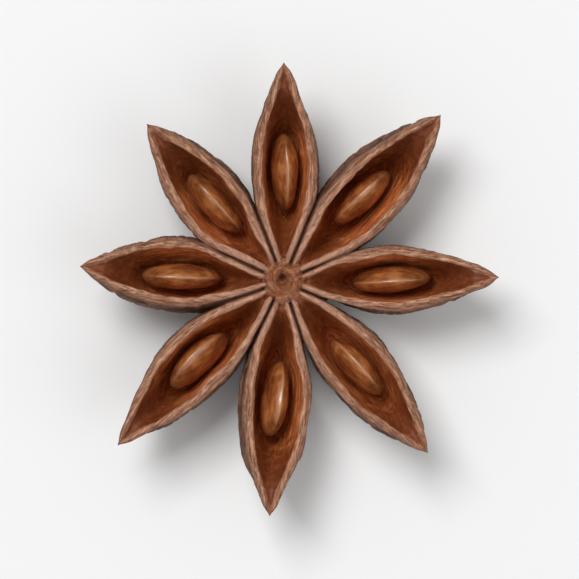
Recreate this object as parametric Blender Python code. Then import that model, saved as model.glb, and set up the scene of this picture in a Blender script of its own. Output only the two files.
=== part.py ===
"""Star anise pod, lying with its mouths up: eight boat-shaped carpels round a short column.

Each carpel is a thin-walled boat, split open along its top, with one loose seed inside. The pod (all
the carpels, the column and the stub of the stalk) is one solid, and every seed is a solid of its own.
Metres, +Z up. The origin is the middle of the pod's footprint, on the surface that it lies on.
"""

import math
from collections import namedtuple

import bmesh
import bpy
from mathutils import Matrix, Vector

MM = 0.001

# One carpel: the direction it points in, its length from the pod's axis to the tip of its beak, half the
# width of its mouth over the lips, how far the beak bends sideways (positive is anticlockwise), how far
# the boat leans over (positive tips its mouth clockwise), the height of the beak above the middle of
# the lips, and how far the flanks bulge out beyond the lips.
Carpel = namedtuple("Carpel", "angle length gape bend lean beak bulge")
CARPELS = (
    Carpel(1.0, 16.0 * MM, 2.35 * MM, -0.2 * MM, -3.0, 1.1 * MM, 0.30 * MM),
    Carpel(47.0, 17.0 * MM, 2.50 * MM, 0.3 * MM, 6.0, 0.9 * MM, 0.45 * MM),
    Carpel(89.0, 16.2 * MM, 2.35 * MM, 0.4 * MM, 2.0, 1.4 * MM, 0.25 * MM),
    Carpel(132.5, 15.4 * MM, 2.40 * MM, -0.7 * MM, -4.0, 0.8 * MM, 0.35 * MM),
    Carpel(178.0, 15.1 * MM, 2.50 * MM, -0.2 * MM, 5.0, 1.2 * MM, 0.45 * MM),
    Carpel(221.5, 17.2 * MM, 2.40 * MM, 1.1 * MM, 2.0, 0.9 * MM, 0.30 * MM),
    Carpel(265.0, 17.4 * MM, 2.45 * MM, 0.1 * MM, -5.0, 1.5 * MM, 0.40 * MM),
    Carpel(311.0, 16.6 * MM, 2.40 * MM, -0.4 * MM, -2.0, 1.0 * MM, 0.35 * MM),
)

# Heights above the table.
LIP_HEIGHT = 6.9 * MM
ROOT_DIP = 1.3 * MM
LIP_SAG = 0.25 * MM
KEEL_DIP = 0.14 * MM
KEEL_ROOT = 1.1 * MM
BEAK_DEPTH = 0.8 * MM

# The carpel's wall.
LIP_WIDTH = 0.70 * MM
LIP_CROWN = 0.12 * MM
KEEL_WALL = 0.70 * MM
ROOT_HALF_WIDTH = 0.55 * MM
TIP_HALF_WIDTH = 0.30 * MM
LEAST_SLIT = 0.05 * MM

# Shares of a carpel's length, from the pod's axis to the tip of the beak.
LIP_RISE_END = 0.16
KEEL_LOWEST = 0.44
LEAN_START, LEAN_FULL = 0.10, 0.50
BULGE_START, BULGE_FULL = 0.12, 0.45
BULGE_FALL, BULGE_END = 0.75, 1.00
CAVITY_START, CAVITY_FULL = 0.07, 0.36
CAVITY_FALL, CAVITY_END = 0.64, 0.98

# How full the belly stays towards the beak, where along the mouth it is widest (above 1 is further
# out), how pointed the mouth's ends are, and how much of the flanks' bulge the cavity follows.
BELLY_FULLNESS = 0.6
MOUTH_PEAK = 1.1
MOUTH_POINT = 1.15
INNER_BULGE = 0.6

# The first section of a carpel lies inside the column, so that the two join.
ROOT_START = 0.9 * MM
STATIONS = 18
END_CROWDING = 0.6
OUTER_POINTS = 13
INNER_POINTS = 9

# The column's top, from its axis outwards, as (radius, height): a dimple, a raised ring and a groove.
COLUMN_TOP = (
    (0.45 * MM, 6.35 * MM),
    (0.85 * MM, 6.75 * MM),
    (1.25 * MM, 6.70 * MM),
    (1.65 * MM, 6.25 * MM),
)
DIMPLE_HEIGHT = 6.25 * MM
COLUMN_FOOT = (1.50 * MM, 1.3 * MM)
STALK_RADIUS = 1.00 * MM
STALK_END = 0.40 * MM
COLUMN_SIDES = 16

# A seed is a flattened egg, set on edge in its carpel.
SEED_LENGTH = 6.2 * MM
SEED_DEPTH = 4.4 * MM
SEED_THICKNESS = 2.1 * MM
SEED_TAPER = 0.06
SEED_PLACE = 0.50
SEED_FLOOR_GAP = 0.95 * MM
SEED_TILT = 14.0
SEED_RINGS = 8
SEED_SIDES = 10

# The slab that cuts the bellies level with the table.
TABLE_SIDE = 60.0 * MM
TABLE_THICKNESS = 10.0 * MM

SHELL_COLOUR = (0.20, 0.085, 0.038, 1.0)
SEED_COLOUR = (0.30, 0.105, 0.030, 1.0)


def clear_scene():
    """Removes whatever the file opened with."""
    for obj in list(bpy.data.objects):
        bpy.data.objects.remove(obj)


def material(name, colour, roughness):
    """A plain Principled material."""
    made = bpy.data.materials.new(name)
    made.use_nodes = True
    shader = made.node_tree.nodes["Principled BSDF"]
    shader.inputs["Base Color"].default_value = colour
    shader.inputs["Roughness"].default_value = roughness
    shader.inputs["Metallic"].default_value = 0.0
    return made


def add_object(name, mesh, surface):
    """Links a mesh as an object with one material."""
    mesh.materials.append(surface)
    obj = bpy.data.objects.new(name, mesh)
    bpy.context.scene.collection.objects.link(obj)
    return obj


def smooth_step(low, high, value):
    """From 0 at low to 1 at high, level at both ends."""
    share = min(1.0, max(0.0, (value - low) / (high - low)))
    return share * share * (3.0 - 2.0 * share)


def mouth_half_width(carpel, share):
    """Half the width over the lips at this share of the length: a pointed lens on a narrow root."""
    lens = math.sin(math.pi * share**MOUTH_PEAK) ** MOUTH_POINT if 0.0 < share < 1.0 else 0.0
    root = ROOT_HALF_WIDTH * (1.0 - share)
    at_peak = ROOT_HALF_WIDTH * (1.0 - 0.5 ** (1.0 / MOUTH_PEAK))
    return (carpel.gape - at_peak) * lens + root + TIP_HALF_WIDTH * share**3


def lip_height(carpel, share):
    """Height of the lips: low where they leave the column, nearly level, then up to the beak."""
    at_root = ROOT_DIP * (1.0 - smooth_step(0.0, LIP_RISE_END, share))
    sag = LIP_SAG * math.sin(math.pi * share)
    return LIP_HEIGHT - at_root - sag + carpel.beak * share**3


def keel_height(carpel, share):
    """Height of the keel: down to the belly, then up to the beak like a boat's stem."""
    lowest = -KEEL_DIP
    if share < KEEL_LOWEST:
        return lowest + (KEEL_ROOT + KEEL_DIP) * (1.0 - share / KEEL_LOWEST) ** 2
    outward = (share - KEEL_LOWEST) / (1.0 - KEEL_LOWEST)
    rise = BELLY_FULLNESS * outward**3 + (1.0 - BELLY_FULLNESS) * smooth_step(0.0, 1.0, outward)
    return lowest + (lip_height(carpel, 1.0) - BEAK_DEPTH - lowest) * rise


def cavity_share(share):
    """How deep the cavity is, from 0 near the column and in the beak to 1 in the belly."""
    return smooth_step(CAVITY_START, CAVITY_FULL, share) * (1.0 - smooth_step(CAVITY_FALL, CAVITY_END, share))


def half_loop(half_width, bulge, depth, count):
    """(across, down) points of a rounded V, from one lip under the keel to the other."""
    points = []
    for i in range(count):
        turn = math.pi * i / (count - 1)
        across = math.cos(turn) * (half_width + 2.0 * bulge * math.sin(turn))
        points.append((across, depth * math.sin(turn)))
    return points


def section(carpel, share):
    """(across, height) points round the wall of the boat at this share of the length."""
    top = lip_height(carpel, share)
    depth = top - keel_height(carpel, share)
    half_width = mouth_half_width(carpel, share)
    lip = LIP_WIDTH * math.sqrt(half_width / carpel.gape)
    inner_half_width = max(half_width - lip, LEAST_SLIT)
    inner_depth = max((depth - KEEL_WALL) * cavity_share(share), LEAST_SLIT)
    swell = smooth_step(BULGE_START, BULGE_FULL, share) * (1.0 - smooth_step(BULGE_FALL, BULGE_END, share))
    bulge = carpel.bulge * swell
    inner_bulge = INNER_BULGE * bulge * cavity_share(share)

    outer = half_loop(half_width, bulge, depth, OUTER_POINTS)
    inner = half_loop(inner_half_width, inner_bulge, inner_depth, INNER_POINTS)
    crown = 0.5 * (half_width + inner_half_width)
    loop = [(across, top - down) for across, down in outer]
    loop.append((-crown, top + LIP_CROWN))
    loop += [(across, top - down) for across, down in reversed(inner)]
    loop.append((crown, top + LIP_CROWN))
    return loop


def place(carpel, along, across, height):
    """A point of a carpel in the pod's frame, with the carpel's lean, bend and direction."""
    share = along / carpel.length
    lean = math.radians(carpel.lean) * smooth_step(LEAN_START, LEAN_FULL, share)
    pivot = 0.5 * LIP_HEIGHT
    upward = height - pivot
    leaned_across = across * math.cos(lean) - upward * math.sin(lean)
    leaned_height = pivot + across * math.sin(lean) + upward * math.cos(lean)
    sideways = leaned_across + carpel.bend * share * share
    turn = math.radians(carpel.angle)
    return Vector(
        (
            along * math.cos(turn) - sideways * math.sin(turn),
            along * math.sin(turn) + sideways * math.cos(turn),
            leaned_height,
        )
    )


def station_shares(carpel):
    """Shares of the length at which sections stand, closer together at the root and the beak."""
    start = ROOT_START / carpel.length
    shares = []
    for i in range(STATIONS):
        even = i / (STATIONS - 1)
        crowded = 0.5 - 0.5 * math.cos(math.pi * even)
        step = END_CROWDING * crowded + (1.0 - END_CROWDING) * even
        shares.append(start + (1.0 - start) * step)
    return shares


def carpel_mesh(name, carpel):
    """One carpel as a closed mesh: sections joined in a row, and capped at both ends."""
    bm = bmesh.new()
    rings = []
    for share in station_shares(carpel):
        along = share * carpel.length
        ring = [bm.verts.new(place(carpel, along, *point)) for point in section(carpel, share)]
        rings.append(ring)
    count = len(rings[0])
    for near, far in zip(rings, rings[1:]):
        for i in range(count):
            j = (i + 1) % count
            bm.faces.new((near[i], near[j], far[j], far[i]))
    bm.faces.new(rings[0])
    bm.faces.new(rings[-1])
    bmesh.ops.triangulate(bm, faces=bm.faces[:])
    bmesh.ops.recalc_face_normals(bm, faces=bm.faces[:])
    mesh = bpy.data.meshes.new(name)
    bm.to_mesh(mesh)
    bm.free()
    return mesh


def turned_mesh(name, profile, foot, top):
    """A round solid: the profile's (radius, height) points turned about Z, with a point at each end."""
    bm = bmesh.new()
    rings = []
    for radius, height in profile:
        ring = []
        for i in range(COLUMN_SIDES):
            turn = 2.0 * math.pi * i / COLUMN_SIDES
            ring.append(bm.verts.new((radius * math.cos(turn), radius * math.sin(turn), height)))
        rings.append(ring)
    for near, far in zip(rings, rings[1:]):
        for i in range(COLUMN_SIDES):
            j = (i + 1) % COLUMN_SIDES
            bm.faces.new((near[i], near[j], far[j], far[i]))
    for ring, height in ((rings[0], top), (rings[-1], foot)):
        tip = bm.verts.new((0.0, 0.0, height))
        for i in range(COLUMN_SIDES):
            bm.faces.new((ring[i], ring[(i + 1) % COLUMN_SIDES], tip))
    bmesh.ops.recalc_face_normals(bm, faces=bm.faces[:])
    mesh = bpy.data.meshes.new(name)
    bm.to_mesh(mesh)
    bm.free()
    return mesh


def column_mesh():
    """The column with its ringed top, narrowing below to the broken stub of the stalk."""
    profile = [*COLUMN_TOP, COLUMN_FOOT, (STALK_RADIUS, STALK_END)]
    return turned_mesh("pod", profile, foot=STALK_END, top=DIMPLE_HEIGHT)


def helper(obj):
    """Marks an object that only joins or cuts the pod."""
    obj.hide_render = True
    obj.display_type = "WIRE"
    return obj


def boolean(target, tool, operation):
    """Joins tool to target, or cuts it away."""
    step = target.modifiers.new(f"{operation.lower()}_{tool.name}", "BOOLEAN")
    step.operation = operation
    step.object = helper(tool)


def table_cutter(surface):
    """A slab below the table's surface, which leaves a small flat spot on each belly."""
    bm = bmesh.new()
    bmesh.ops.create_cube(bm, size=1.0)
    bmesh.ops.scale(bm, vec=(TABLE_SIDE, TABLE_SIDE, TABLE_THICKNESS), verts=bm.verts)
    bmesh.ops.translate(bm, vec=(0.0, 0.0, -0.5 * TABLE_THICKNESS), verts=bm.verts)
    mesh = bpy.data.meshes.new("table")
    bm.to_mesh(mesh)
    bm.free()
    return add_object("table", mesh, surface)


def build_pod(surface):
    """The column, with every carpel joined to it and the bellies cut level."""
    pod = add_object("pod", column_mesh(), surface)
    for i, carpel in enumerate(CARPELS, start=1):
        name = f"carpel_{i}"
        boolean(pod, add_object(name, carpel_mesh(name, carpel), surface), "UNION")
    boolean(pod, table_cutter(surface), "DIFFERENCE")
    return pod


def seed_mesh():
    """A flattened egg, long in X and thin in Y, narrower at its -X end."""
    bm = bmesh.new()
    bmesh.ops.create_uvsphere(bm, u_segments=SEED_SIDES, v_segments=SEED_RINGS, radius=0.5)
    # The sphere's poles go to the ends of the seed.
    bmesh.ops.rotate(bm, matrix=Matrix.Rotation(math.radians(90.0), 3, "Y"), verts=bm.verts)
    for vert in bm.verts:
        taper = 1.0 + SEED_TAPER * vert.co.x
        vert.co.x *= SEED_LENGTH
        vert.co.y *= SEED_THICKNESS * taper
        vert.co.z *= SEED_DEPTH * taper
    bmesh.ops.recalc_face_normals(bm, faces=bm.faces[:])
    mesh = bpy.data.meshes.new("seed")
    bm.to_mesh(mesh)
    bm.free()
    mesh.shade_smooth()
    return mesh


def build_seed(name, carpel, surface):
    """One seed, standing on edge in the belly of its carpel."""
    along = SEED_PLACE * carpel.length
    floor = keel_height(carpel, SEED_PLACE) + KEEL_WALL
    height = floor + SEED_FLOOR_GAP + 0.5 * SEED_DEPTH
    obj = add_object(name, seed_mesh(), surface)
    obj.rotation_mode = "QUATERNION"
    direction = Matrix.Rotation(math.radians(carpel.angle), 4, "Z")
    lean = Matrix.Rotation(math.radians(carpel.lean), 4, "X")
    tilt = Matrix.Rotation(math.radians(-SEED_TILT), 4, "Y")
    obj.rotation_quaternion = (direction @ lean @ tilt).to_quaternion()
    obj.location = place(carpel, along, 0.0, height)
    return obj


def centre_on_origin(pod):
    """Moves everything sideways so that the middle of the pod's footprint is the origin."""
    bpy.context.view_layer.update()
    finished = pod.evaluated_get(bpy.context.evaluated_depsgraph_get())
    corners = [Vector(corner) for corner in finished.bound_box]
    middle_x = 0.5 * (min(corner.x for corner in corners) + max(corner.x for corner in corners))
    middle_y = 0.5 * (min(corner.y for corner in corners) + max(corner.y for corner in corners))
    root = bpy.data.objects.new("origin", None)
    bpy.context.scene.collection.objects.link(root)
    for obj in bpy.data.objects:
        if obj is not root:
            obj.parent = root
    root.location = (-middle_x, -middle_y, 0.0)


def main():
    clear_scene()
    shell = material("shell", SHELL_COLOUR, roughness=0.65)
    kernel = material("seed", SEED_COLOUR, roughness=0.25)
    pod = build_pod(shell)
    for i, carpel in enumerate(CARPELS, start=1):
        build_seed(f"seed_{i}", carpel, kernel)
    centre_on_origin(pod)


main()
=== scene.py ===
"""Star anise pod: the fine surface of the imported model, seen from straight above its open mouths.

Each carpel is one piece: a boat-shaped wall with a dry, wrinkled husk outside, a pale split lip along
each side of its mouth and a smooth lining inside. The column with its stub of stalk is another, and
so is each seed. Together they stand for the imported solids, whose formulas they repeat.
"""

import math
from collections import namedtuple

import bpy
import numpy as np
from mathutils import Matrix, Vector, noise


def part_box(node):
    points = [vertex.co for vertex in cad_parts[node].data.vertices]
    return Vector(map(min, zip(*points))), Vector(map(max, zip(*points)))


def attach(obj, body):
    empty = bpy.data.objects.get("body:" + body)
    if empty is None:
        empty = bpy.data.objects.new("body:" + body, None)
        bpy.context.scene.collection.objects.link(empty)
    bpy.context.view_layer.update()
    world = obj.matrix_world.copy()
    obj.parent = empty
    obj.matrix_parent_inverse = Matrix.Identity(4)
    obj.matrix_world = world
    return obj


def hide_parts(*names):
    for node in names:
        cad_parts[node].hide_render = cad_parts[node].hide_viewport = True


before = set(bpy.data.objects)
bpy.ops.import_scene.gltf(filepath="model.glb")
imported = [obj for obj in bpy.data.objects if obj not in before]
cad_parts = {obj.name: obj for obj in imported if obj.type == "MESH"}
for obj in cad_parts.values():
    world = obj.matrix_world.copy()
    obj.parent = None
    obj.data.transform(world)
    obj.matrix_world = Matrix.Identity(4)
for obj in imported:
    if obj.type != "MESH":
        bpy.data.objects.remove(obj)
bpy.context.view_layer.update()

MM = 0.001

# One carpel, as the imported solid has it: direction and lean in degrees, the rest in metres.
Carpel = namedtuple("Carpel", "angle length gape bend lean beak bulge")
CARPELS = (
    Carpel(1.0, 16.0 * MM, 2.35 * MM, -0.2 * MM, -3.0, 1.1 * MM, 0.30 * MM),
    Carpel(47.0, 17.0 * MM, 2.50 * MM, 0.3 * MM, 6.0, 0.9 * MM, 0.45 * MM),
    Carpel(89.0, 16.2 * MM, 2.35 * MM, 0.4 * MM, 2.0, 1.4 * MM, 0.25 * MM),
    Carpel(132.5, 15.4 * MM, 2.40 * MM, -0.7 * MM, -4.0, 0.8 * MM, 0.35 * MM),
    Carpel(178.0, 15.1 * MM, 2.50 * MM, -0.2 * MM, 5.0, 1.2 * MM, 0.45 * MM),
    Carpel(221.5, 17.2 * MM, 2.40 * MM, 1.1 * MM, 2.0, 0.9 * MM, 0.30 * MM),
    Carpel(265.0, 17.4 * MM, 2.45 * MM, 0.1 * MM, -5.0, 1.5 * MM, 0.40 * MM),
    Carpel(311.0, 16.6 * MM, 2.40 * MM, -0.4 * MM, -2.0, 1.0 * MM, 0.35 * MM),
)

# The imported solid's sizes.
LIP_HEIGHT = 6.9 * MM
ROOT_DIP = 1.3 * MM
LIP_SAG = 0.25 * MM
KEEL_DIP = 0.14 * MM
KEEL_ROOT = 1.1 * MM
BEAK_DEPTH = 0.8 * MM
LIP_WIDTH = 0.70 * MM
LIP_CROWN = 0.12 * MM
KEEL_WALL = 0.70 * MM
ROOT_HALF_WIDTH = 0.55 * MM
TIP_HALF_WIDTH = 0.30 * MM
ROOT_START = 0.9 * MM
LIP_RISE_END = 0.16
KEEL_LOWEST = 0.44
LEAN_START, LEAN_FULL = 0.10, 0.50
BULGE_START, BULGE_FULL = 0.12, 0.45
BULGE_FALL, BULGE_END = 0.75, 1.00
CAVITY_START, CAVITY_FULL = 0.07, 0.36
CAVITY_FALL, CAVITY_END = 0.64, 0.98
BELLY_FULLNESS = 0.6
MOUTH_PEAK = 1.1
MOUTH_POINT = 1.15
INNER_BULGE = 0.6
SEED_LENGTH = 6.2 * MM
SEED_DEPTH = 4.4 * MM
SEED_THICKNESS = 2.1 * MM
SEED_TAPER = 0.06
SEED_PLACE = 0.50
SEED_FLOOR_GAP = 0.95 * MM
SEED_TILT = 14.0

# The slit where a mouth is still closed, near the column and in the beak, and where along the carpel
# and by how much it gets shallower towards the point.
LEAST_SLIT = 0.06 * MM
SLIT_DEPTH = 0.40 * MM
SLIT_FALL = 0.9
SLIT_LOSS = 0.8

# Where the beak starts to draw in to its point, as a share of the carpel's length, how far down the
# point is, as a share of the depth, and the scale of the cross-section at the very point.
POINT_START = 0.93
POINT_DROP = 0.35
POINT_SCALE = 0.04

# How finely the wall is drawn: along the carpel, round the husk, over a lip and round the lining.
STATIONS = 210
HUSK_POINTS = 96
LIP_POINTS = 13
LINING_POINTS = 64

# The husk's relief, and how much of it shows on the lips, in the lining and at the husk's upper edge.
DENT_HEIGHT = 0.13 * MM
WRINKLE_HEIGHT = 0.11 * MM
GRAIN_HEIGHT = 0.030 * MM
LIP_RELIEF = 0.06
LINING_RELIEF = 0.07
UPPER_EDGE_RELIEF = 0.25
UPPER_EDGE_DEPTH = 0.9 * MM

# The relief weakens by this share from here to the end of the beak.
BEAK_RELIEF_START = 0.85
BEAK_RELIEF_LOSS = 0.6

# The husk's noises, in features a millimetre. Wrinkles and grain are stretched lengthwise, and the
# wrinkles are warped as well.
DENT_SCALE = 0.32
BROAD_WRINKLE_SCALE = 0.55
FINE_WRINKLE_SCALE = 1.3
BROAD_WRINKLE_SHARE = 0.65
WRINKLE_VALLEY = 0.16
GRAIN_SCALE = 3.2
FINE_GRAIN_SCALE = 6.5
FINE_GRAIN_SHARE = 0.5
HUSK_STRETCH = (0.45, 1.0, 1.0)
WARP_SIZE = 0.5 * MM
WARP_SCALE = 0.5

# Neighbouring carpels press together near the column, with this much room left between their lips.
NEIGHBOUR_ROOM = 0.10 * MM

# Below the lips the husk widens again, over these depths, where it presses into its neighbours.
PRESS_START, PRESS_FULL = 0.05 * MM, 0.75 * MM

# How far the lips wander sideways and up and down, how much their width varies, and how frayed they
# are sideways and up and down.
LIP_WANDER = 0.16 * MM
LIP_RIPPLE = 0.20 * MM
LIP_THINNING = 0.28
LIP_FRAYING_OUT = 0.018 * MM
LIP_FRAYING_UP = 0.0315 * MM

# The waves that make them so, as layers of (share, features a millimetre).
WANDER_WAVES = ((1.0, 0.28), (0.30, 1.1))
RIPPLE_WAVES = ((1.0, 0.25), (0.35, 1.0))
THINNING_WAVES = ((1.0, 0.40), (0.30, 1.8))
FRAYING_WAVES = ((1.0, 2.6), (0.6, 5.5))

# Where along the carpel the waves start, are full and start to weaken, and how much they weaken.
WAVES_START, WAVES_FULL, WAVES_FALL = 0.06, 0.30, 0.80
WAVES_LOSS = 0.7

# The lip's crown is higher by this share at its inner edge, and rounded with this power.
CROWN_INWARD = 1.1
CROWN_POWER = 0.8

# The groove between a lip's two layers: its depth, its place and width as shares of the lip, where
# along the carpel it starts and is full, its least strength, and its features a millimetre.
GROOVE_DEPTH = 0.09 * MM
GROOVE_PLACE = 0.36
GROOVE_WIDTH = 0.10
GROOVE_START, GROOVE_FULL = 0.15, 0.40
GROOVE_LEAST = 0.35
GROOVE_SCALE = 0.6

# The column from the middle of its top, out and down to the end of the stalk, as (radius, height).
COLUMN_PROFILE = (
    (0.03, 6.22),
    (0.30, 6.26),
    (0.55, 6.50),
    (0.85, 6.60),
    (1.25, 6.56),
    (1.60, 6.36),
    (1.80, 6.05),
    (1.78, 5.20),
    (1.55, 1.60),
    (1.15, 1.05),
    (0.98, 0.80),
    (0.96, 0.45),
    (0.70, 0.36),
    (0.03, 0.48),
)
COLUMN_RINGS = 150
COLUMN_SIDES = 180

# The clefts down the column: their depth as a share of its radius, their depth on its top, half the
# width of their floor in radians, and how far and how strongly their sides flare.
CLEFT_SHARE = 0.07
CLEFT_DEPTH = 0.10 * MM
CLEFT_ANGLE = 0.10
CLEFT_FLARE_ANGLE = 0.30
CLEFT_FLARE = 0.15

# The radii and heights over which the clefts come in, and the heights over which the top does.
CLEFT_INNER, CLEFT_OUTER = 0.9 * MM, 1.6 * MM
CLEFT_LOW, CLEFT_HIGH = 0.9 * MM, 1.8 * MM
CLEFT_TOP_LOW, CLEFT_TOP_HIGH = 5.5 * MM, 6.2 * MM
TOP_LOW, TOP_HIGH = 5.0 * MM, 6.0 * MM

# The column's lumps, as (height, features a millimetre, noise seed), its folds the same way, and the
# height that its material takes as full relief.
COLUMN_LUMPS = ((0.13 * MM, 0.71, 3.37), (0.10 * MM, 1.93, 4.61), (0.035 * MM, 4.3, 5.29))
COLUMN_FOLDS = (0.05 * MM, 1.07, 6.83)
COLUMN_RELIEF = 0.22 * MM

# The lumps fade out inside this radius.
LUMPS_INNER = 0.35 * MM

# The ring on the column's top: its radius, half its width, its height and how far it wanders.
RING_RADIUS = 0.95 * MM
RING_WIDTH = 0.17 * MM
RING_HEIGHT = 0.14 * MM
RING_WANDER = 0.22 * MM

# The small hole near the middle of the column's top.
PIT_X, PIT_Y = -0.05 * MM, 0.30 * MM
PIT_DEPTH = 0.65 * MM
PIT_RADIUS = 0.24 * MM
PIT_SHADOW_RADIUS = 0.30 * MM

# The least height of the stalk's broken end above the floor.
COLUMN_CLEARANCE = 0.05 * MM

# The column takes the colours that a carpel's lip has at this share of its length, mixed this far
# with the lining's.
COLUMN_REACH = 0.31
COLUMN_LINING = 0.62

# How finely a seed is drawn, and the angle at which it is closed at each end.
SEED_RINGS = 110
SEED_SIDES = 84
SEED_END = 0.015

# A seed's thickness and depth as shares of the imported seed's, how far it bows to one side, how flat
# its sides are, and its relief.
SEED_THINNESS = 0.92
SEED_SHALLOWNESS = 0.96
SEED_BOW = 0.05
SEED_FLATNESS = 0.18
SEED_LUMP_HEIGHT = 0.10 * MM
SEED_GRAIN_HEIGHT = 0.03 * MM
SEED_KEEL_HEIGHT = 0.030 * MM
SEED_KEEL_WIDTH = 0.16

# The scar at a seed's narrow end: its depth, and its place and half size as shares of the seed.
SCAR_DEPTH = 0.14 * MM
SCAR_X, SCAR_Z = -0.475, 0.13
SCAR_HALF_LENGTH, SCAR_HALF_WIDTH = 0.055, 0.12

# How the seeds differ: degrees that each is rolled about its length and swung sideways in its mouth,
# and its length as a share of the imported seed's.
SEED_ROLLS = (9.0, -12.0, 5.0, 11.0, -7.0, 13.0, -10.0, -4.0)
SEED_YAWS = (1.5, -2.0, 2.5, -1.5, 2.0, 1.0, -2.5, 2.0)
SEED_STRETCHES = (0.98, 0.93, 0.97, 0.94, 0.99, 0.95, 0.96, 0.92)

# How far apart the carpels' places lie in the noises of the shell's material, and how places round a
# wall are measured there: shares of the lining's depth, of the husk's, of a lip's width, and of the
# place across.
NOISE_SPACING = 40.0 * MM
LINING_GIRTH = 0.5
HUSK_GIRTH = 0.6
LIP_GIRTH = 1.3
ACROSS_SHARE = 0.9

# The outer part of a lip counts as farther from the rim, from this share of its width outwards.
RIM_START = 0.30
RIM_RISE = 0.9 * MM

# The gaps to the next carpel from which and to which the shell is painted with shade, and the strength of
# the painted shade in a lip's groove.
TOUCHING_GAP = 0.04 * MM
HUSK_SHADE_GAP = 0.55 * MM
LIP_SHADE_GAP = 0.26 * MM
GROOVE_SHADE = 0.6

# Colours, in linear light. A ramp runs over a noise from 0 to 1.
HUSK_RAMP = ((0.36, (0.055, 0.021, 0.011)), (0.50, (0.155, 0.072, 0.040)), (0.64, (0.300, 0.170, 0.108)))
# Painted shade in the husk's wrinkle valleys and painted light on its ridges, multiplied in by the relief.
HUSK_RELIEF_SHADING = ((0.0, (0.34, 0.26, 0.22)), (0.5, (0.95, 0.93, 0.90)), (1.0, (1.45, 1.40, 1.32)))
HUSK_PATCH = (0.115, 0.040, 0.018)
HUSK_DUST = (0.300, 0.205, 0.150)
HUSK_CRACK = (0.028, 0.011, 0.006)
HUSK_POINT = (0.085, 0.040, 0.024)
LINING_RAMP = ((0.34, (0.150, 0.028, 0.007)), (0.50, (0.410, 0.112, 0.028)), (0.66, (0.680, 0.270, 0.090)))
LINING_BLOTCH = (0.280, 0.060, 0.014)
# Painted light on the lining beside the seed, against the shade that the seed casts.
LINING_PAINTED_LIGHT = (1.55, 1.60, 1.75)
# Painted shade in the lining's narrow ends, near the column and in the beak.
LINING_PAINTED_END_SHADE = (0.130, 0.027, 0.008)
LIP_RAMP = ((0.32, (0.160, 0.056, 0.027)), (0.50, (0.430, 0.205, 0.118)), (0.68, (0.720, 0.420, 0.275)))
LIP_NEAR_COLUMN = (0.640, 0.355, 0.250)
LIP_OUTER_EDGE = (0.150, 0.062, 0.036)
# Painted shade in the creases between carpels, in the lips' grooves and in the column's clefts and pit;
# also the colour of the column's blotches.
SHADE_AND_BLOTCH_COLOUR = (0.100, 0.028, 0.012)
SEED_RAMP = ((0.36, (0.130, 0.034, 0.009)), (0.50, (0.310, 0.100, 0.027)), (0.62, (0.500, 0.210, 0.070)))
SEED_EDGE = (0.520, 0.260, 0.120)
SEED_TIP = (0.110, 0.030, 0.009)
SEED_SCAR = (0.120, 0.055, 0.030)
FLOOR_WHITE = (0.90, 0.90, 0.90, 1.0)

# The camera and the floor.
CAMERA_DISTANCE = 0.45
FRAME_WIDTH = 43.0 * MM
FLOOR_HALF = 1.5

# Softboxes, as (name, place, size, power).
SOFTBOXES = (("key", (-0.30, 0.42, 1.00), 0.5, 8.0), ("fill", (0.70, -0.35, 0.85), 0.9, 2.5))

# The world's strength as light on the pod, and where the camera or a reflection sees it.
WORLD_LIGHT = 0.38
WORLD_SEEN = 0.9


# ---------------------------------------------------------------- shapes


def smooth_step(low, high, value):
    """From 0 at low to 1 at high, level at both ends."""
    share = np.clip((value - low) / (high - low), 0.0, 1.0)
    return share * share * (3.0 - 2.0 * share)


def mouth_half_width(carpel, share):
    """Half the width over the lips at this share of the length."""
    lens = np.sin(np.pi * np.clip(share, 0.0, 1.0) ** MOUTH_PEAK).clip(0.0) ** MOUTH_POINT
    root = ROOT_HALF_WIDTH * (1.0 - share)
    at_peak = ROOT_HALF_WIDTH * (1.0 - 0.5 ** (1.0 / MOUTH_PEAK))
    return (carpel.gape - at_peak) * lens + root + TIP_HALF_WIDTH * share**3


def lip_height(carpel, share):
    """Height of the lips: low where they leave the column, nearly level, then up to the beak."""
    at_root = ROOT_DIP * (1.0 - smooth_step(0.0, LIP_RISE_END, share))
    return LIP_HEIGHT - at_root - LIP_SAG * np.sin(np.pi * share) + carpel.beak * share**3


def keel_height(carpel, share):
    """Height of the keel: down to the belly, then up to the beak like a boat's stem."""
    lowest = -KEEL_DIP
    inward = np.clip(1.0 - share / KEEL_LOWEST, 0.0, 1.0)
    near = lowest + (KEEL_ROOT + KEEL_DIP) * inward**2
    outward = np.clip((share - KEEL_LOWEST) / (1.0 - KEEL_LOWEST), 0.0, 1.0)
    rise = BELLY_FULLNESS * outward**3 + (1.0 - BELLY_FULLNESS) * smooth_step(0.0, 1.0, outward)
    far = lowest + (lip_height(carpel, 1.0) - BEAK_DEPTH - lowest) * rise
    return np.where(share < KEEL_LOWEST, near, far)


def cavity_share(share):
    """How deep the cavity is, from 0 near the column and in the beak to 1 in the belly."""
    falling = smooth_step(CAVITY_FALL, CAVITY_END, share)
    return smooth_step(CAVITY_START, CAVITY_FULL, share) * (1.0 - falling)


def place(carpel, along, across, height):
    """Points of a carpel round the pod's axis, with the carpel's lean, bend and direction."""
    share = along / carpel.length
    lean = math.radians(carpel.lean) * smooth_step(LEAN_START, LEAN_FULL, share)
    pivot = 0.5 * LIP_HEIGHT
    upward = height - pivot
    leaned_across = across * np.cos(lean) - upward * np.sin(lean)
    leaned_height = pivot + across * np.sin(lean) + upward * np.cos(lean)
    sideways = leaned_across + carpel.bend * share * share
    turn = math.radians(carpel.angle)
    x = along * math.cos(turn) - sideways * math.sin(turn)
    y = along * math.sin(turn) + sideways * math.cos(turn)
    return np.stack(np.broadcast_arrays(x, y, leaned_height), axis=-1)


def seed_height(carpel):
    """Height of the middle of a carpel's seed."""
    return keel_height(carpel, SEED_PLACE) + KEEL_WALL + SEED_FLOOR_GAP + 0.5 * SEED_DEPTH


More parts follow.
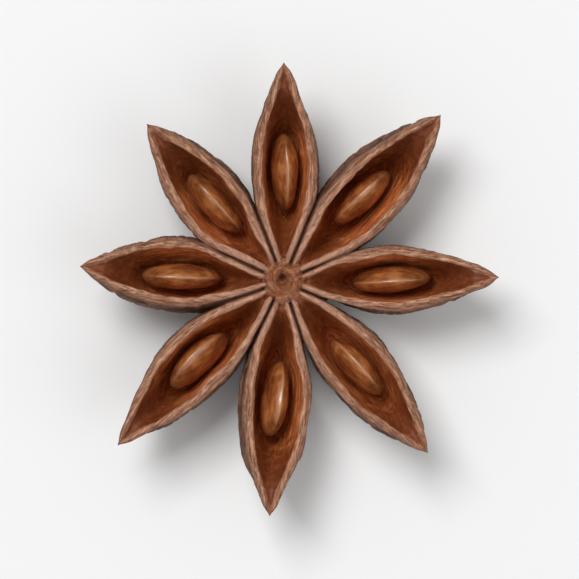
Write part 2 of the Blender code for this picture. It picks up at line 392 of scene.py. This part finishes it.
def pod_axis():
    """Where the pod's axis stands in the frame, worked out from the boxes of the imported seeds."""
    total = Vector()
    for i, carpel in enumerate(CARPELS, start=1):
        low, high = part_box(f"seed_{i}")
        expected = place(carpel, SEED_PLACE * carpel.length, 0.0, seed_height(carpel))
        total += 0.5 * (Vector(low) + Vector(high)) - Vector(expected)
    return np.array((total.x / len(CARPELS), total.y / len(CARPELS), 0.0))


def noise_at(points, scale, seed):
    """Smooth noise, about -1 to 1, at points in metres; scale is in features a millimetre."""
    shifted = points.reshape(-1, 3) * (scale / MM) + 17.3 * seed
    values = [noise.noise(point) for point in shifted.tolist()]
    return np.array(values).reshape(points.shape[:-1])


def noise_along(along, scale, seed):
    """Smooth noise along a line."""
    points = np.stack((along, np.zeros_like(along), np.zeros_like(along)), axis=-1)
    return noise_at(points, scale, seed)


def layered_noise(along, layers, seed):
    """Layers of smooth noise along a line, each with the next seed."""
    noises = [size * noise_along(along, scale, seed + i) for i, (size, scale) in enumerate(layers)]
    return sum(noises)


def creases(value):
    """Turns noise into a net of narrow valleys, -1 at their bottoms, between broad rounded ridges."""
    return 1.0 - 2.0 * np.exp(-((value / WRINKLE_VALLEY) ** 2))


def husk_relief(local, seed):
    """Height of the dry husk's relief at points of a carpel: dents, lengthwise wrinkles and grain."""
    stretched = local * np.array(HUSK_STRETCH)
    warp = WARP_SIZE * noise_at(local, WARP_SCALE, seed + 5)
    warped = stretched + warp[..., None]
    dents = noise_at(local, DENT_SCALE, seed)
    broad = creases(noise_at(warped, BROAD_WRINKLE_SCALE, seed + 1))
    fine = creases(noise_at(warped, FINE_WRINKLE_SCALE, seed + 2))
    wrinkles = BROAD_WRINKLE_SHARE * broad + (1.0 - BROAD_WRINKLE_SHARE) * fine
    grain = noise_at(stretched, GRAIN_SCALE, seed + 3)
    grain = grain + FINE_GRAIN_SHARE * noise_at(local, FINE_GRAIN_SCALE, seed + 4)
    return dents * DENT_HEIGHT + wrinkles * WRINKLE_HEIGHT + grain * GRAIN_HEIGHT


def surface_normals(points):
    """Normals of a grid of points whose second direction closes on itself."""
    lengthwise = np.gradient(points, axis=0)
    around = np.roll(points, -1, axis=1) - np.roll(points, 1, axis=1)
    normals = np.cross(lengthwise, around)
    return normals / np.maximum(np.linalg.norm(normals, axis=-1, keepdims=True), 1e-12)


def grid_mesh(name, points, attributes):
    """A closed mesh from a grid of points whose second direction closes on itself. Attributes are
    values, or grids of vectors, that broadcast to the grid of points."""
    rows, columns = points.shape[:2]
    row, column = np.meshgrid(np.arange(rows - 1), np.arange(columns), indexing="ij")
    after = (column + 1) % columns
    this_ring = row * columns
    next_ring = this_ring + columns
    corners = (this_ring + column, next_ring + column, next_ring + after, this_ring + after)
    faces = np.stack(corners, axis=-1).reshape(-1, 4).tolist()
    faces.append(list(range(columns)))
    faces.append(list(range(rows * columns - 1, (rows - 1) * columns - 1, -1)))
    mesh = bpy.data.meshes.new(name)
    mesh.from_pydata(points.reshape(-1, 3).tolist(), [], faces)
    mesh.validate()
    for key, values in attributes.items():
        if np.ndim(values) == 3:
            kind, field = "FLOAT_VECTOR", "vector"
        else:
            kind, field = "FLOAT", "value"
            values = np.broadcast_to(values, (rows, columns))
        layer = mesh.attributes.new(key, kind, "POINT")
        layer.data.foreach_set(field, values.reshape(-1).astype(np.float32))
    mesh.shade_smooth()
    return mesh


def add_piece(name, mesh, slot, surface, *nodes):
    """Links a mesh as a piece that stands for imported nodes."""
    obj = bpy.data.objects.new(name, mesh)
    bpy.context.scene.collection.objects.link(obj)
    mesh.materials.append(surface)
    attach(obj, "root")
    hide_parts(*nodes)
    return obj


# ---------------------------------------------------------------- carpels


def wall_loop():
    """Once round a carpel's wall: the turn from one lip under the keel to the other, the place across
    a lip from outside to inside, and which of the three surfaces each point is on."""
    husk = np.linspace(0.0, np.pi, HUSK_POINTS)
    lining = np.linspace(np.pi, 0.0, LINING_POINTS)
    over = np.linspace(0.0, 1.0, LIP_POINTS + 2)[1:-1]
    turn = np.concatenate((husk, np.full(LIP_POINTS, np.pi), lining, np.zeros(LIP_POINTS)))
    cap = np.concatenate((np.zeros(HUSK_POINTS), over, np.ones(LINING_POINTS), over[::-1]))
    on_lip = np.concatenate(
        (np.zeros(HUSK_POINTS), np.ones(LIP_POINTS), np.zeros(LINING_POINTS), np.ones(LIP_POINTS))
    )
    return turn, cap, on_lip


def lip_waves(along, share, seed):
    """How far one lip wanders outwards and upwards along the carpel, and its width as a share of the
    usual."""
    hold = smooth_step(WAVES_START, WAVES_FULL, share)
    hold = hold * (1.0 - WAVES_LOSS * smooth_step(WAVES_FALL, 1.0, share))
    wander = layered_noise(along, WANDER_WAVES, seed)
    ripple = layered_noise(along, RIPPLE_WAVES, seed + 2)
    width = layered_noise(along, THINNING_WAVES, seed + 4)
    frayed = layered_noise(along, FRAYING_WAVES, seed + 6)
    out = LIP_WANDER * wander + LIP_FRAYING_OUT * frayed
    up = LIP_RIPPLE * ripple + LIP_FRAYING_UP * frayed
    return out * hold, up * hold, 1.0 + LIP_THINNING * width


def lip_moves(along, share, side, seed):
    """How far points of the wall move outwards and upwards with the lips, and the lips' width as a
    share of the usual. The moves fade out towards the keel."""
    left_out, left_up, left_width = lip_waves(along, share, seed)
    right_out, right_up, right_width = lip_waves(along, share, seed + 100)
    left = np.clip(side, 0.0, 1.0) ** 2
    right = np.clip(-side, 0.0, 1.0) ** 2
    out = left_out * left - right_out * right
    up = left_up * left + right_up * right
    return out, up, np.where(side > 0.0, left_width, right_width)


def half_sectors(number):
    """Half the angles from a carpel to the next one, anticlockwise, and to the one before."""
    angle = CARPELS[number - 1].angle
    after = CARPELS[number % len(CARPELS)].angle
    before = CARPELS[number - 2].angle
    return math.radians(0.5 * ((after - angle) % 360.0)), math.radians(0.5 * ((angle - before) % 360.0))


def neighbour_gap(number, points):
    """Distance of points from the planes halfway to the neighbouring carpels."""
    half_after, half_before = half_sectors(number)
    radius = np.hypot(points[..., 0], points[..., 1])
    away = np.arctan2(points[..., 1], points[..., 0]) - math.radians(CARPELS[number - 1].angle)
    away = (away + np.pi) % (2.0 * np.pi) - np.pi
    half = np.where(away > 0.0, half_after, half_before)
    return radius * np.sin(half - np.abs(away))


def pressed_shade(number, points, husk_share):
    """How near points are to the next carpel, from 0 to 1 where the two touch; the shell gets painted shade
    there. It reaches farther on the husk."""
    gap = neighbour_gap(number, points)
    on_husk = 1.0 - smooth_step(TOUCHING_GAP, HUSK_SHADE_GAP, gap)
    elsewhere = 1.0 - smooth_step(TOUCHING_GAP, LIP_SHADE_GAP, gap)
    return on_husk * husk_share + elsewhere * (1.0 - husk_share)


def carpel_piece(number, surface, axis):
    """One carpel's wall."""
    carpel = CARPELS[number - 1]
    seed = 11 * number

    # The grid: along the carpel, and once round its wall.
    start = ROOT_START / carpel.length
    share = np.linspace(start, 1.0, STATIONS)[:, None]
    along = share * carpel.length
    turn, cap, on_lip = wall_loop()
    side = np.cos(turn)
    sine = np.sin(turn)
    out, up, width = lip_moves(along, share, side, seed)

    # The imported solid's section, kept clear of the neighbours near the column.
    top = lip_height(carpel, share)
    depth = top - keel_height(carpel, share)
    half_after, half_before = half_sectors(number)
    free_half_width = mouth_half_width(carpel, share)
    widening = np.where(side > 0.0, math.tan(half_after), math.tan(half_before))
    room = along * widening - NEIGHBOUR_ROOM
    half_width = np.minimum(free_half_width, room)
    lip = LIP_WIDTH * np.sqrt(half_width / carpel.gape) * width
    inner_half_width = np.maximum(half_width - lip, LEAST_SLIT)
    opened = cavity_share(share)
    slit_depth = SLIT_DEPTH * (1.0 - SLIT_LOSS * smooth_step(SLIT_FALL, 1.0, share))
    inner_depth = np.maximum((depth - KEEL_WALL) * opened, slit_depth)
    bulge = carpel.bulge * smooth_step(BULGE_START, BULGE_FULL, share)
    bulge = bulge * (1.0 - smooth_step(BULGE_FALL, BULGE_END, share))
    inner_bulge = INNER_BULGE * bulge * opened

    # The wall itself: husk, lip with its groove, and lining. Below the lips the husk keeps its full
    # width, so that neighbours press into each other.
    below_lip = smooth_step(PRESS_START, PRESS_FULL, depth * sine)
    pressed = (free_half_width + NEIGHBOUR_ROOM - half_width) * below_lip * (half_width < free_half_width)
    husk_across = side * (half_width + pressed + 2.0 * bulge * sine)
    lining_across = side * (inner_half_width + 2.0 * inner_bulge * sine)
    rounded = 0.5 - 0.5 * np.cos(np.pi * cap)
    groove = np.exp(-(((cap - GROOVE_PLACE) / GROOVE_WIDTH) ** 2)) * on_lip
    groove = groove * smooth_step(GROOVE_START, GROOVE_FULL, share)
    patchy = smooth_step(-0.3, 0.3, noise_along(along, GROOVE_SCALE, seed + 8))
    crown = LIP_CROWN * (1.0 + CROWN_INWARD * cap) * np.sin(np.pi * cap) ** CROWN_POWER * on_lip
    crown = crown - GROOVE_DEPTH * groove * (GROOVE_LEAST + (1.0 - GROOVE_LEAST) * patchy)
    across = husk_across * (1.0 - rounded) + lining_across * rounded + out
    fall = depth * sine * (1.0 - rounded) + inner_depth * sine**2 * rounded
    height = top - fall + crown + up

    # The beak draws in to its point.
    drawn_in = smooth_step(POINT_START, 1.0, share)
    scale = np.sqrt(np.clip(1.0 - drawn_in**2, POINT_SCALE**2, 1.0))
    middle = top - POINT_DROP * depth
    across = across * scale
    height = middle + (height - middle) * scale

    # The relief, strongest on the husk.
    local = np.stack(np.broadcast_arrays(along, across, height), axis=-1)
    points = place(carpel, along, across, height)
    relief = husk_relief(local, seed)
    husk_share = (1.0 - on_lip) * (1.0 - cap)
    below_edge = smooth_step(0.0, UPPER_EDGE_DEPTH, depth * sine)
    strength = husk_share * (UPPER_EDGE_RELIEF + (1.0 - UPPER_EDGE_RELIEF) * below_edge)
    strength = strength + LIP_RELIEF * on_lip + LINING_RELIEF * cap * (1.0 - on_lip)
    strength = strength * (1.0 - BEAK_RELIEF_LOSS * smooth_step(BEAK_RELIEF_START, 1.0, share))
    points = points + surface_normals(points) * (relief * strength)[..., None]
    points[..., 2] = np.maximum(points[..., 2], 0.0)

    # What the material needs: the distance from the rim, and a place along and round the wall for
    # streaks that follow it.
    from_rim = np.hypot(fall, (1.0 - np.abs(side)) * inner_half_width * cap)
    from_rim = from_rim + RIM_RISE * np.clip(RIM_START - cap, 0.0, 1.0) * on_lip
    girth = np.where(cap > 0.5, LINING_GIRTH * inner_depth, -HUSK_GIRTH * depth)
    round_wall = np.arcsin(np.clip(sine, 0.0, 1.0)) * girth + LIP_GIRTH * lip * (cap - 0.5)
    sideways = ACROSS_SHARE * across + NOISE_SPACING * number
    flow = np.stack(np.broadcast_arrays(along, round_wall, sideways), axis=-1)
    # Painted shade where the carpel presses on its neighbours and in the groove between a lip's two layers.
    painted_shade_and_blotches = pressed_shade(number, points, husk_share) + GROOVE_SHADE * groove
    attributes = {
        "local": (local + NOISE_SPACING * number) / MM,
        "flow": flow / MM,
        "drop": from_rim / MM,
        "lining": cap,
        "relief": relief / (DENT_HEIGHT + WRINKLE_HEIGHT),
        "painted_shade_and_blotches": np.clip(painted_shade_and_blotches, 0.0, 1.0),
        "reach": share,
    }
    mesh = grid_mesh(f"carpel_{number}", points + axis, attributes)
    return add_piece(f"carpel_{number}", mesh, "shell", surface, "pod")


# ---------------------------------------------------------------- column


def column_piece(surface, axis):
    """The column, cleft between the carpels, with a lumpy ringed top and a broken stub of stalk."""
    profile = np.array(COLUMN_PROFILE) * MM
    steps = np.concatenate(([0.0], np.cumsum(np.linalg.norm(np.diff(profile, axis=0), axis=1))))
    at = np.linspace(0.0, steps[-1], COLUMN_RINGS)
    radius = np.interp(at, steps, profile[:, 0])[:, None]
    height = np.interp(at, steps, profile[:, 1])[:, None]
    turn = np.linspace(0.0, 2.0 * np.pi, COLUMN_SIDES, endpoint=False)[None, :]

    cleft = np.zeros_like(turn)
    for carpel, after in zip(CARPELS, CARPELS[1:] + CARPELS[:1]):
        halfway = math.radians(carpel.angle + 0.5 * ((after.angle - carpel.angle) % 360.0))
        away = np.abs((turn - halfway + np.pi) % (2.0 * np.pi) - np.pi)
        cleft = cleft + np.exp(-((away / CLEFT_ANGLE) ** 2))
        cleft = cleft + CLEFT_FLARE * np.exp(-((away / CLEFT_FLARE_ANGLE) ** 2))

    # The clefts fade out towards the middle of the top and towards the stalk.
    outer = smooth_step(CLEFT_INNER, CLEFT_OUTER, radius) * smooth_step(CLEFT_LOW, CLEFT_HIGH, height)
    wide = radius * (1.0 - CLEFT_SHARE * cleft * outer)
    low = height - CLEFT_DEPTH * cleft * outer * smooth_step(CLEFT_TOP_LOW, CLEFT_TOP_HIGH, height)
    points = np.stack(np.broadcast_arrays(wide * np.cos(turn), wide * np.sin(turn), low), axis=-1)
    local = points.copy()

    # The ring wanders and is broken. The lumps fade out at the very middle, where the mesh closes.
    wandering = radius + RING_WANDER * noise_at(points, 0.62, 7.77)
    ring = np.exp(-(((wandering - RING_RADIUS) / RING_WIDTH) ** 2))
    lumps = sum(tall * noise_at(points, scale, seed) for tall, scale, seed in COLUMN_LUMPS)
    tall, scale, seed = COLUMN_FOLDS
    lumps = lumps + tall * creases(noise_at(points, scale, seed))
    lumps = lumps + RING_HEIGHT * ring * (0.7 + noise_at(points, 1.1, 9.19))
    lumps = lumps * smooth_step(0.0, LUMPS_INNER, radius)
    points = points + surface_normals(points) * lumps[..., None]

    pit = np.hypot(points[..., 0] - PIT_X, points[..., 1] - PIT_Y)
    on_top = smooth_step(TOP_LOW, TOP_HIGH, points[..., 2])
    points[..., 2] -= PIT_DEPTH * np.exp(-((pit / PIT_RADIUS) ** 2)) * on_top
    points[..., 2] = np.maximum(points[..., 2], COLUMN_CLEARANCE)
    pit_shadow = np.exp(-((pit / PIT_SHADOW_RADIUS) ** 2)) * on_top

    # The top is coloured like a lip with dark blotches off its ring, and the rest like husk. The clefts and
    # the pit get painted shade.
    flow = np.stack(np.broadcast_arrays(radius, radius * turn, points[..., 2]), axis=-1)
    blotches = 0.35 * noise_at(points, 1.93, 4.61) * (1.0 - ring)
    attributes = {
        "local": local / MM,
        "flow": flow / MM,
        "drop": 0.34 + 0.22 * noise_at(points, 1.2, 8.13) + 2.0 * (1.0 - on_top),
        "lining": COLUMN_LINING * on_top,
        "relief": lumps / COLUMN_RELIEF,
        "painted_shade_and_blotches": np.clip(0.6 * cleft * outer + pit_shadow + blotches, 0.0, 1.0),
        "reach": COLUMN_REACH,
    }
    mesh = grid_mesh("column", points + axis, attributes)
    return add_piece("column", mesh, "shell", surface, "pod")


# ---------------------------------------------------------------- seeds


def seed_piece(number, surface):
    """One seed: a flattened egg with a keel along its edge, dented sides and a scar at its narrow end."""
    carpel = CARPELS[number - 1]
    low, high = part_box(f"seed_{number}")
    lengthwise = np.linspace(SEED_END, np.pi - SEED_END, SEED_RINGS)[:, None]
    around = np.linspace(0.0, 2.0 * np.pi, SEED_SIDES, endpoint=False)[None, :]
    x = -0.5 * np.cos(lengthwise)
    girth = 0.5 * np.sin(lengthwise)
    y = girth * np.cos(around) * np.abs(np.cos(around)) ** SEED_FLATNESS
    z = -girth * np.sin(around)
    bow = np.sin(lengthwise) ** 2 * math.sin(1.9 * number)
    taper = 1.0 + SEED_TAPER * x
    points = np.stack(
        np.broadcast_arrays(
            x * SEED_LENGTH * SEED_STRETCHES[number - 1],
            (y + SEED_BOW * bow) * SEED_THICKNESS * SEED_THINNESS * taper,
            z * SEED_DEPTH * SEED_SHALLOWNESS * taper,
        ),
        axis=-1,
    )
    seed = 300 + 7 * number
    edge = np.exp(-((np.cos(around) / SEED_KEEL_WIDTH) ** 2)) * np.sin(lengthwise)
    from_scar = ((x - SCAR_X) / SCAR_HALF_LENGTH) ** 2 + ((z - SCAR_Z) / SCAR_HALF_WIDTH) ** 2
    scar = np.exp(-from_scar)
    lumps = SEED_LUMP_HEIGHT * noise_at(points, 0.33, seed + 0.4)
    lumps = lumps + SEED_GRAIN_HEIGHT * noise_at(points, 1.1, seed + 1.7)
    lumps = lumps + SEED_KEEL_HEIGHT * edge - SCAR_DEPTH * scar
    points = points + surface_normals(points) * lumps[..., None]
    attributes = {
        "edge": edge,
        "scar": scar,
        "ends": smooth_step(0.60, 1.0, 2.0 * np.abs(x)),
    }
    name = f"seed_{number}_skin"
    mesh = grid_mesh(name, points, attributes)
    obj = add_piece(name, mesh, "seed", surface, f"seed_{number}")
    direction = Matrix.Rotation(math.radians(carpel.angle), 4, "Z")
    lean = Matrix.Rotation(math.radians(carpel.lean), 4, "X")
    yaw = Matrix.Rotation(math.radians(SEED_YAWS[number - 1]), 4, "Z")
    tilt = Matrix.Rotation(math.radians(-SEED_TILT), 4, "Y")
    roll = Matrix.Rotation(math.radians(SEED_ROLLS[number - 1]), 4, "X")
    obj.rotation_mode = "QUATERNION"
    obj.rotation_quaternion = (direction @ lean @ yaw @ tilt @ roll).to_quaternion()
    obj.location = 0.5 * (Vector(low) + Vector(high))
    return obj


# ---------------------------------------------------------------- materials


def node(tree, kind, inputs=None, **settings):
    """Adds a shader node. An input is a value, or the socket that feeds it."""
    made = tree.nodes.new("ShaderNode" + kind)
    for name, value in settings.items():
        setattr(made, name, value)
    for name, value in (inputs or {}).items():
        if isinstance(value, bpy.types.NodeSocket):
            tree.links.new(value, made.inputs[name])
        else:
            made.inputs[name].default_value = value
    return made


def noise_socket(tree, vector, scale, detail=4.0, roughness=0.5, distortion=0.0):
    """Noise from 0 to 1."""
    inputs = {"Vector": vector, "Scale": scale, "Detail": detail}
    inputs.update({"Roughness": roughness, "Distortion": distortion})
    return node(tree, "TexNoise", inputs).outputs[0]


def math_socket(tree, operation, first, second=0.0, third=0.0):
    """A Math node's result."""
    return node(tree, "Math", {0: first, 1: second, 2: third}, operation=operation).outputs[0]


def range_socket(tree, value, low, high, to_low=0.0, to_high=1.0):
    """A smooth step from low to high."""
    inputs = {"Value": value, "From Min": low, "From Max": high, "To Min": to_low, "To Max": to_high}
    return node(tree, "MapRange", inputs, interpolation_type="SMOOTHSTEP").outputs[0]


def stretch_socket(tree, vector, factors):
    """A vector scaled along each axis."""
    return node(tree, "VectorMath", {0: vector, 1: factors}, operation="MULTIPLY").outputs[0]


def mix_socket(tree, factor, first, second, blend="MIX"):
    """Two colours mixed. The first is a socket, and the second is a socket or a constant."""
    if isinstance(second, tuple):
        second = (*second, 1.0)
    inputs = {0: factor, 6: first, 7: second}
    return node(tree, "Mix", inputs, data_type="RGBA", blend_type=blend).outputs[2]


def tint_socket(tree, factor, strength, first, second):
    """Two colours mixed by a factor that is weakened by a strength."""
    return mix_socket(tree, math_socket(tree, "MULTIPLY", factor, strength), first, second)


def mix_values(tree, factor, first, second):
    """Two values mixed."""
    inputs = {0: factor, 2: first, 3: second}
    return node(tree, "Mix", inputs, data_type="FLOAT").outputs[0]


def ramp_socket(tree, factor, *stops):
    """A colour ramp through (position, colour) stops."""
    made = node(tree, "ValToRGB", {0: factor})
    elements = made.color_ramp.elements
    while len(elements) < len(stops):
        elements.new(0.5)
    for element, (position, colour) in zip(elements, stops):
        element.position = position
        element.color = (*colour, 1.0)
    return made.outputs[0]


def principled(name):
    """A new material with its node tree and its shader."""
    made = bpy.data.materials.new(name)
    made.use_nodes = True
    return made, made.node_tree, made.node_tree.nodes["Principled BSDF"]


def attribute_socket(tree, name, vector=False):
    """A mesh attribute."""
    return node(tree, "Attribute", attribute_name=name).outputs["Vector" if vector else "Fac"]


def shell_material():
    """Dry husk outside, pale fibrous lips and a smooth reddish lining, blended by the mesh's attributes."""
    made, tree, shader = principled("shell_skin")
    local = attribute_socket(tree, "local", vector=True)
    drop = attribute_socket(tree, "drop")
    lining = attribute_socket(tree, "lining")
    relief = attribute_socket(tree, "relief")
    painted_shade_and_blotches = attribute_socket(tree, "painted_shade_and_blotches")
    reach = attribute_socket(tree, "reach")
    flow = attribute_socket(tree, "flow", vector=True)

    # Husk: greyish brown with redder and darker patches, dark cracks and pale dust on the ridges, with
    # painted shade in the wrinkles' valleys and painted light on their ridges.
    patches = noise_socket(tree, local, 0.40, detail=3.0)
    along_husk = stretch_socket(tree, flow, (0.30, 1.0, 1.0))
    grain = noise_socket(tree, along_husk, 2.2, detail=8.0, roughness=0.62)
    husk = ramp_socket(tree, grain, *HUSK_RAMP)
    husk = mix_socket(tree, range_socket(tree, patches, 0.40, 0.62, 0.0, 0.75), husk, HUSK_PATCH)
    raised = range_socket(tree, relief, -0.9, 0.9)
    husk = mix_socket(tree, 1.0, husk, ramp_socket(tree, raised, *HUSK_RELIEF_SHADING), "MULTIPLY")
    specks = range_socket(tree, noise_socket(tree, local, 5.5, detail=5.0), 0.55, 0.70)
    dust = math_socket(tree, "MULTIPLY", specks, raised)
    husk = tint_socket(tree, dust, 0.45, husk, HUSK_DUST)
    along_folds = stretch_socket(tree, flow, (0.45, 1.0, 1.0))
    folds = noise_socket(tree, along_folds, 1.15, detail=5.0, roughness=0.6, distortion=0.6)
    folds = math_socket(tree, "ABSOLUTE", math_socket(tree, "SUBTRACT", folds, 0.5))
    cracks = range_socket(tree, folds, 0.0, 0.030, 1.0, 0.0)
    husk = tint_socket(tree, cracks, 0.60, husk, HUSK_CRACK)

    # Lining: reddish amber with fine lengthwise streaks, with painted light beside the seed against the
    # shade it casts, and painted shade at its narrow ends.
    along_lining = stretch_socket(tree, flow, (0.10, 1.0, 1.0))
    streaks = noise_socket(tree, along_lining, 4.5, detail=6.0, roughness=0.65)
    blotches = noise_socket(tree, local, 0.7, detail=3.0)
    inner = ramp_socket(tree, streaks, *LINING_RAMP)
    inner = mix_socket(tree, range_socket(tree, blotches, 0.42, 0.66, 0.0, 0.6), inner, LINING_BLOTCH)
    past_root = range_socket(tree, reach, 0.24, 0.36)
    before_tip = range_socket(tree, reach, 0.58, 0.72, 1.0, 0.0)
    painted_light_beside_seed = math_socket(tree, "MULTIPLY", past_root, before_tip)
    inner = mix_socket(tree, painted_light_beside_seed, inner, LINING_PAINTED_LIGHT, "MULTIPLY")
    inner = mix_socket(tree, range_socket(tree, reach, 0.62, 0.82, 0.0, 0.78), inner, LINING_PAINTED_END_SHADE)
    inner = mix_socket(tree, range_socket(tree, reach, 0.14, 0.32, 0.70, 0.0), inner, LINING_PAINTED_END_SHADE)

    # Lips: pale tan with fibres running along them, browner towards the husk.
    along_lip = stretch_socket(tree, flow, (0.16, 1.0, 1.0))
    fibres = noise_socket(tree, along_lip, 6.0, detail=6.0, roughness=0.65)
    lip = ramp_socket(tree, fibres, *LIP_RAMP)
    near_column = range_socket(tree, reach, 0.14, 0.46, 0.45, 0.0)
    lip = mix_socket(tree, near_column, lip, LIP_NEAR_COLUMN)
    outer_edge = range_socket(tree, lining, 0.04, 0.42, 0.55, 0.0)
    lip = mix_socket(tree, outer_edge, lip, LIP_OUTER_EDGE)

    # The three together. The lips end raggedly, creases, clefts and the column's pit get painted shade, the
    # column's top its dark blotches, and the outside of the point is dark.
    ragged = noise_socket(tree, local, 2.4, detail=5.0)
    uneven = math_socket(tree, "MULTIPLY_ADD", ragged, 0.55, -0.27)
    shifted = math_socket(tree, "ADD", drop, uneven)
    on_lip = range_socket(tree, shifted, 0.05, 0.38, 1.0, 0.0)
    wall = mix_socket(tree, range_socket(tree, lining, 0.35, 0.95), husk, inner)
    colour = mix_socket(tree, on_lip, wall, lip)
    colour = tint_socket(tree, painted_shade_and_blotches, 0.75, colour, SHADE_AND_BLOTCH_COLOUR)
    outside = math_socket(tree, "SUBTRACT", 1.0, lining)
    at_point = range_socket(tree, reach, 0.94, 1.0, 0.0, 0.60)
    colour = tint_socket(tree, at_point, outside, colour, HUSK_POINT)
    tree.links.new(colour, shader.inputs["Base Color"])

    # The lining is smoother than the husk and the lips.
    rough_wall = range_socket(tree, grain, 0.30, 0.70, 0.62, 0.84)
    rough_lining = range_socket(tree, streaks, 0.30, 0.70, 0.36, 0.56)
    off_lip = math_socket(tree, "SUBTRACT", 1.0, on_lip)
    smoothness = math_socket(tree, "MULTIPLY", lining, off_lip)
    roughness = mix_values(tree, smoothness, rough_wall, rough_lining)
    tree.links.new(roughness, shader.inputs["Roughness"])

    # Fine relief: pits, grain and cracks on the husk and the lips, faint streaks in the lining.
    pits = noise_socket(tree, local, 9.0, detail=6.0, roughness=0.65)
    rough_height = math_socket(tree, "ADD", pits, grain)
    wall_height = math_socket(tree, "MULTIPLY_ADD", cracks, -0.8, rough_height)
    lining_height = math_socket(tree, "MULTIPLY", streaks, 0.9)
    bump_height = mix_values(tree, range_socket(tree, lining, 0.6, 1.0), wall_height, lining_height)
    bump = node(tree, "Bump", {"Height": bump_height, "Distance": 0.09 * MM, "Strength": 0.9})
    tree.links.new(bump.outputs[0], shader.inputs["Normal"])
    shader.inputs["Specular IOR Level"].default_value = 0.30
    shader.inputs["Subsurface Weight"].default_value = 0.20
    shader.inputs["Subsurface Radius"].default_value = (1.0, 0.30, 0.10)
    shader.inputs["Subsurface Scale"].default_value = 0.5 * MM
    return made


def seed_material():
    """Hard glossy seed coat, amber to chestnut, with a paler edge, darker ends and a dull scar."""
    made, tree, shader = principled("seed_skin")
    coordinates = node(tree, "TexCoord").outputs["Object"]
    millimetres = stretch_socket(tree, coordinates, (1.0 / MM, 1.0 / MM, 1.0 / MM))
    cloud = noise_socket(tree, millimetres, 0.55, detail=3.0)
    mottle = noise_socket(tree, stretch_socket(tree, millimetres, (0.35, 1.0, 1.0)), 2.6, detail=5.0)
    cloud_share = math_socket(tree, "MULTIPLY", cloud, 0.6)
    mottle_share = math_socket(tree, "MULTIPLY", mottle, 0.4)
    coat = ramp_socket(tree, math_socket(tree, "ADD", cloud_share, mottle_share), *SEED_RAMP)
    coat = tint_socket(tree, attribute_socket(tree, "edge"), 0.45, coat, SEED_EDGE)
    coat = tint_socket(tree, attribute_socket(tree, "ends"), 0.60, coat, SEED_TIP)
    scar = attribute_socket(tree, "scar")
    coat = tint_socket(tree, scar, 0.85, coat, SEED_SCAR)
    tree.links.new(coat, shader.inputs["Base Color"])
    plain_roughness = range_socket(tree, mottle, 0.3, 0.7, 0.20, 0.34)
    dullness = math_socket(tree, "MULTIPLY_ADD", scar, 0.4, plain_roughness)
    tree.links.new(dullness, shader.inputs["Roughness"])
    bump = node(tree, "Bump", {"Height": mottle, "Distance": 0.03 * MM, "Strength": 0.6})
    tree.links.new(bump.outputs[0], shader.inputs["Normal"])
    shader.inputs["Coat Weight"].default_value = 0.5
    shader.inputs["Coat Roughness"].default_value = 0.16
    return made


def floor_material():
    """Plain pale floor."""
    made, _, shader = principled("floor_white")
    shader.inputs["Base Color"].default_value = FLOOR_WHITE
    shader.inputs["Roughness"].default_value = 0.9
    shader.inputs["Specular IOR Level"].default_value = 0.1
    return made


# ---------------------------------------------------------------- stage


def add_floor():
    """A large pale floor at the height that the pod lies on."""
    signs = ((-1.0, -1.0), (1.0, -1.0), (1.0, 1.0), (-1.0, 1.0))
    corners = [(FLOOR_HALF * x, FLOOR_HALF * y, 0.0) for x, y in signs]
    mesh = bpy.data.meshes.new("floor")
    mesh.from_pydata(corners, [], [(0, 1, 2, 3)])
    mesh.materials.append(floor_material())
    floor = bpy.data.objects.new("floor", mesh)
    bpy.context.scene.collection.objects.link(floor)


def add_softbox(name, location, size, power):
    """A square area light aimed at the pod."""
    lamp = bpy.data.lights.new(name, "AREA")
    lamp.shape = "SQUARE"
    lamp.size = size
    lamp.energy = power
    obj = bpy.data.objects.new(name, lamp)
    obj.location = location
    obj.rotation_euler = (-Vector(location)).to_track_quat("-Z", "Y").to_euler()
    obj.visible_camera = False
    bpy.context.scene.collection.objects.link(obj)


def add_world():
    """Even pale light from all round, white where the camera sees it."""
    world = bpy.data.worlds.new("studio")
    world.use_nodes = True
    bpy.context.scene.world = world
    tree = world.node_tree
    background = tree.nodes["Background"]
    background.inputs["Color"].default_value = (1.0, 1.0, 1.0, 1.0)
    rays = node(tree, "LightPath").outputs
    seen = math_socket(tree, "MAXIMUM", rays["Is Camera Ray"], rays["Is Glossy Ray"])
    seen = math_socket(tree, "MAXIMUM", seen, rays["Is Transmission Ray"])
    strength = node(tree, "MapRange", {"Value": seen, "To Min": WORLD_LIGHT, "To Max": WORLD_SEEN})
    tree.links.new(strength.outputs[0], background.inputs["Strength"])


def add_camera():
    """Straight above the pod, with +Y at the top of the frame."""
    lens = bpy.data.cameras.new("camera")
    lens.sensor_width = 36.0
    lens.lens = lens.sensor_width * (CAMERA_DISTANCE - LIP_HEIGHT) / FRAME_WIDTH
    lens.clip_start = 0.01
    camera = bpy.data.objects.new("camera", lens)
    camera.location = (0.0, 0.0, CAMERA_DISTANCE)
    bpy.context.scene.collection.objects.link(camera)
    bpy.context.scene.camera = camera


def main():
    axis = pod_axis()
    shell = shell_material()
    for number in range(1, len(CARPELS) + 1):
        carpel_piece(number, shell, axis)
    column_piece(shell, axis)
    coat = seed_material()
    for number in range(1, len(CARPELS) + 1):
        seed_piece(number, coat)
    add_floor()
    for softbox in SOFTBOXES:
        add_softbox(*softbox)
    add_world()
    add_camera()
    bpy.context.scene.view_settings.view_transform = "Standard"


main()
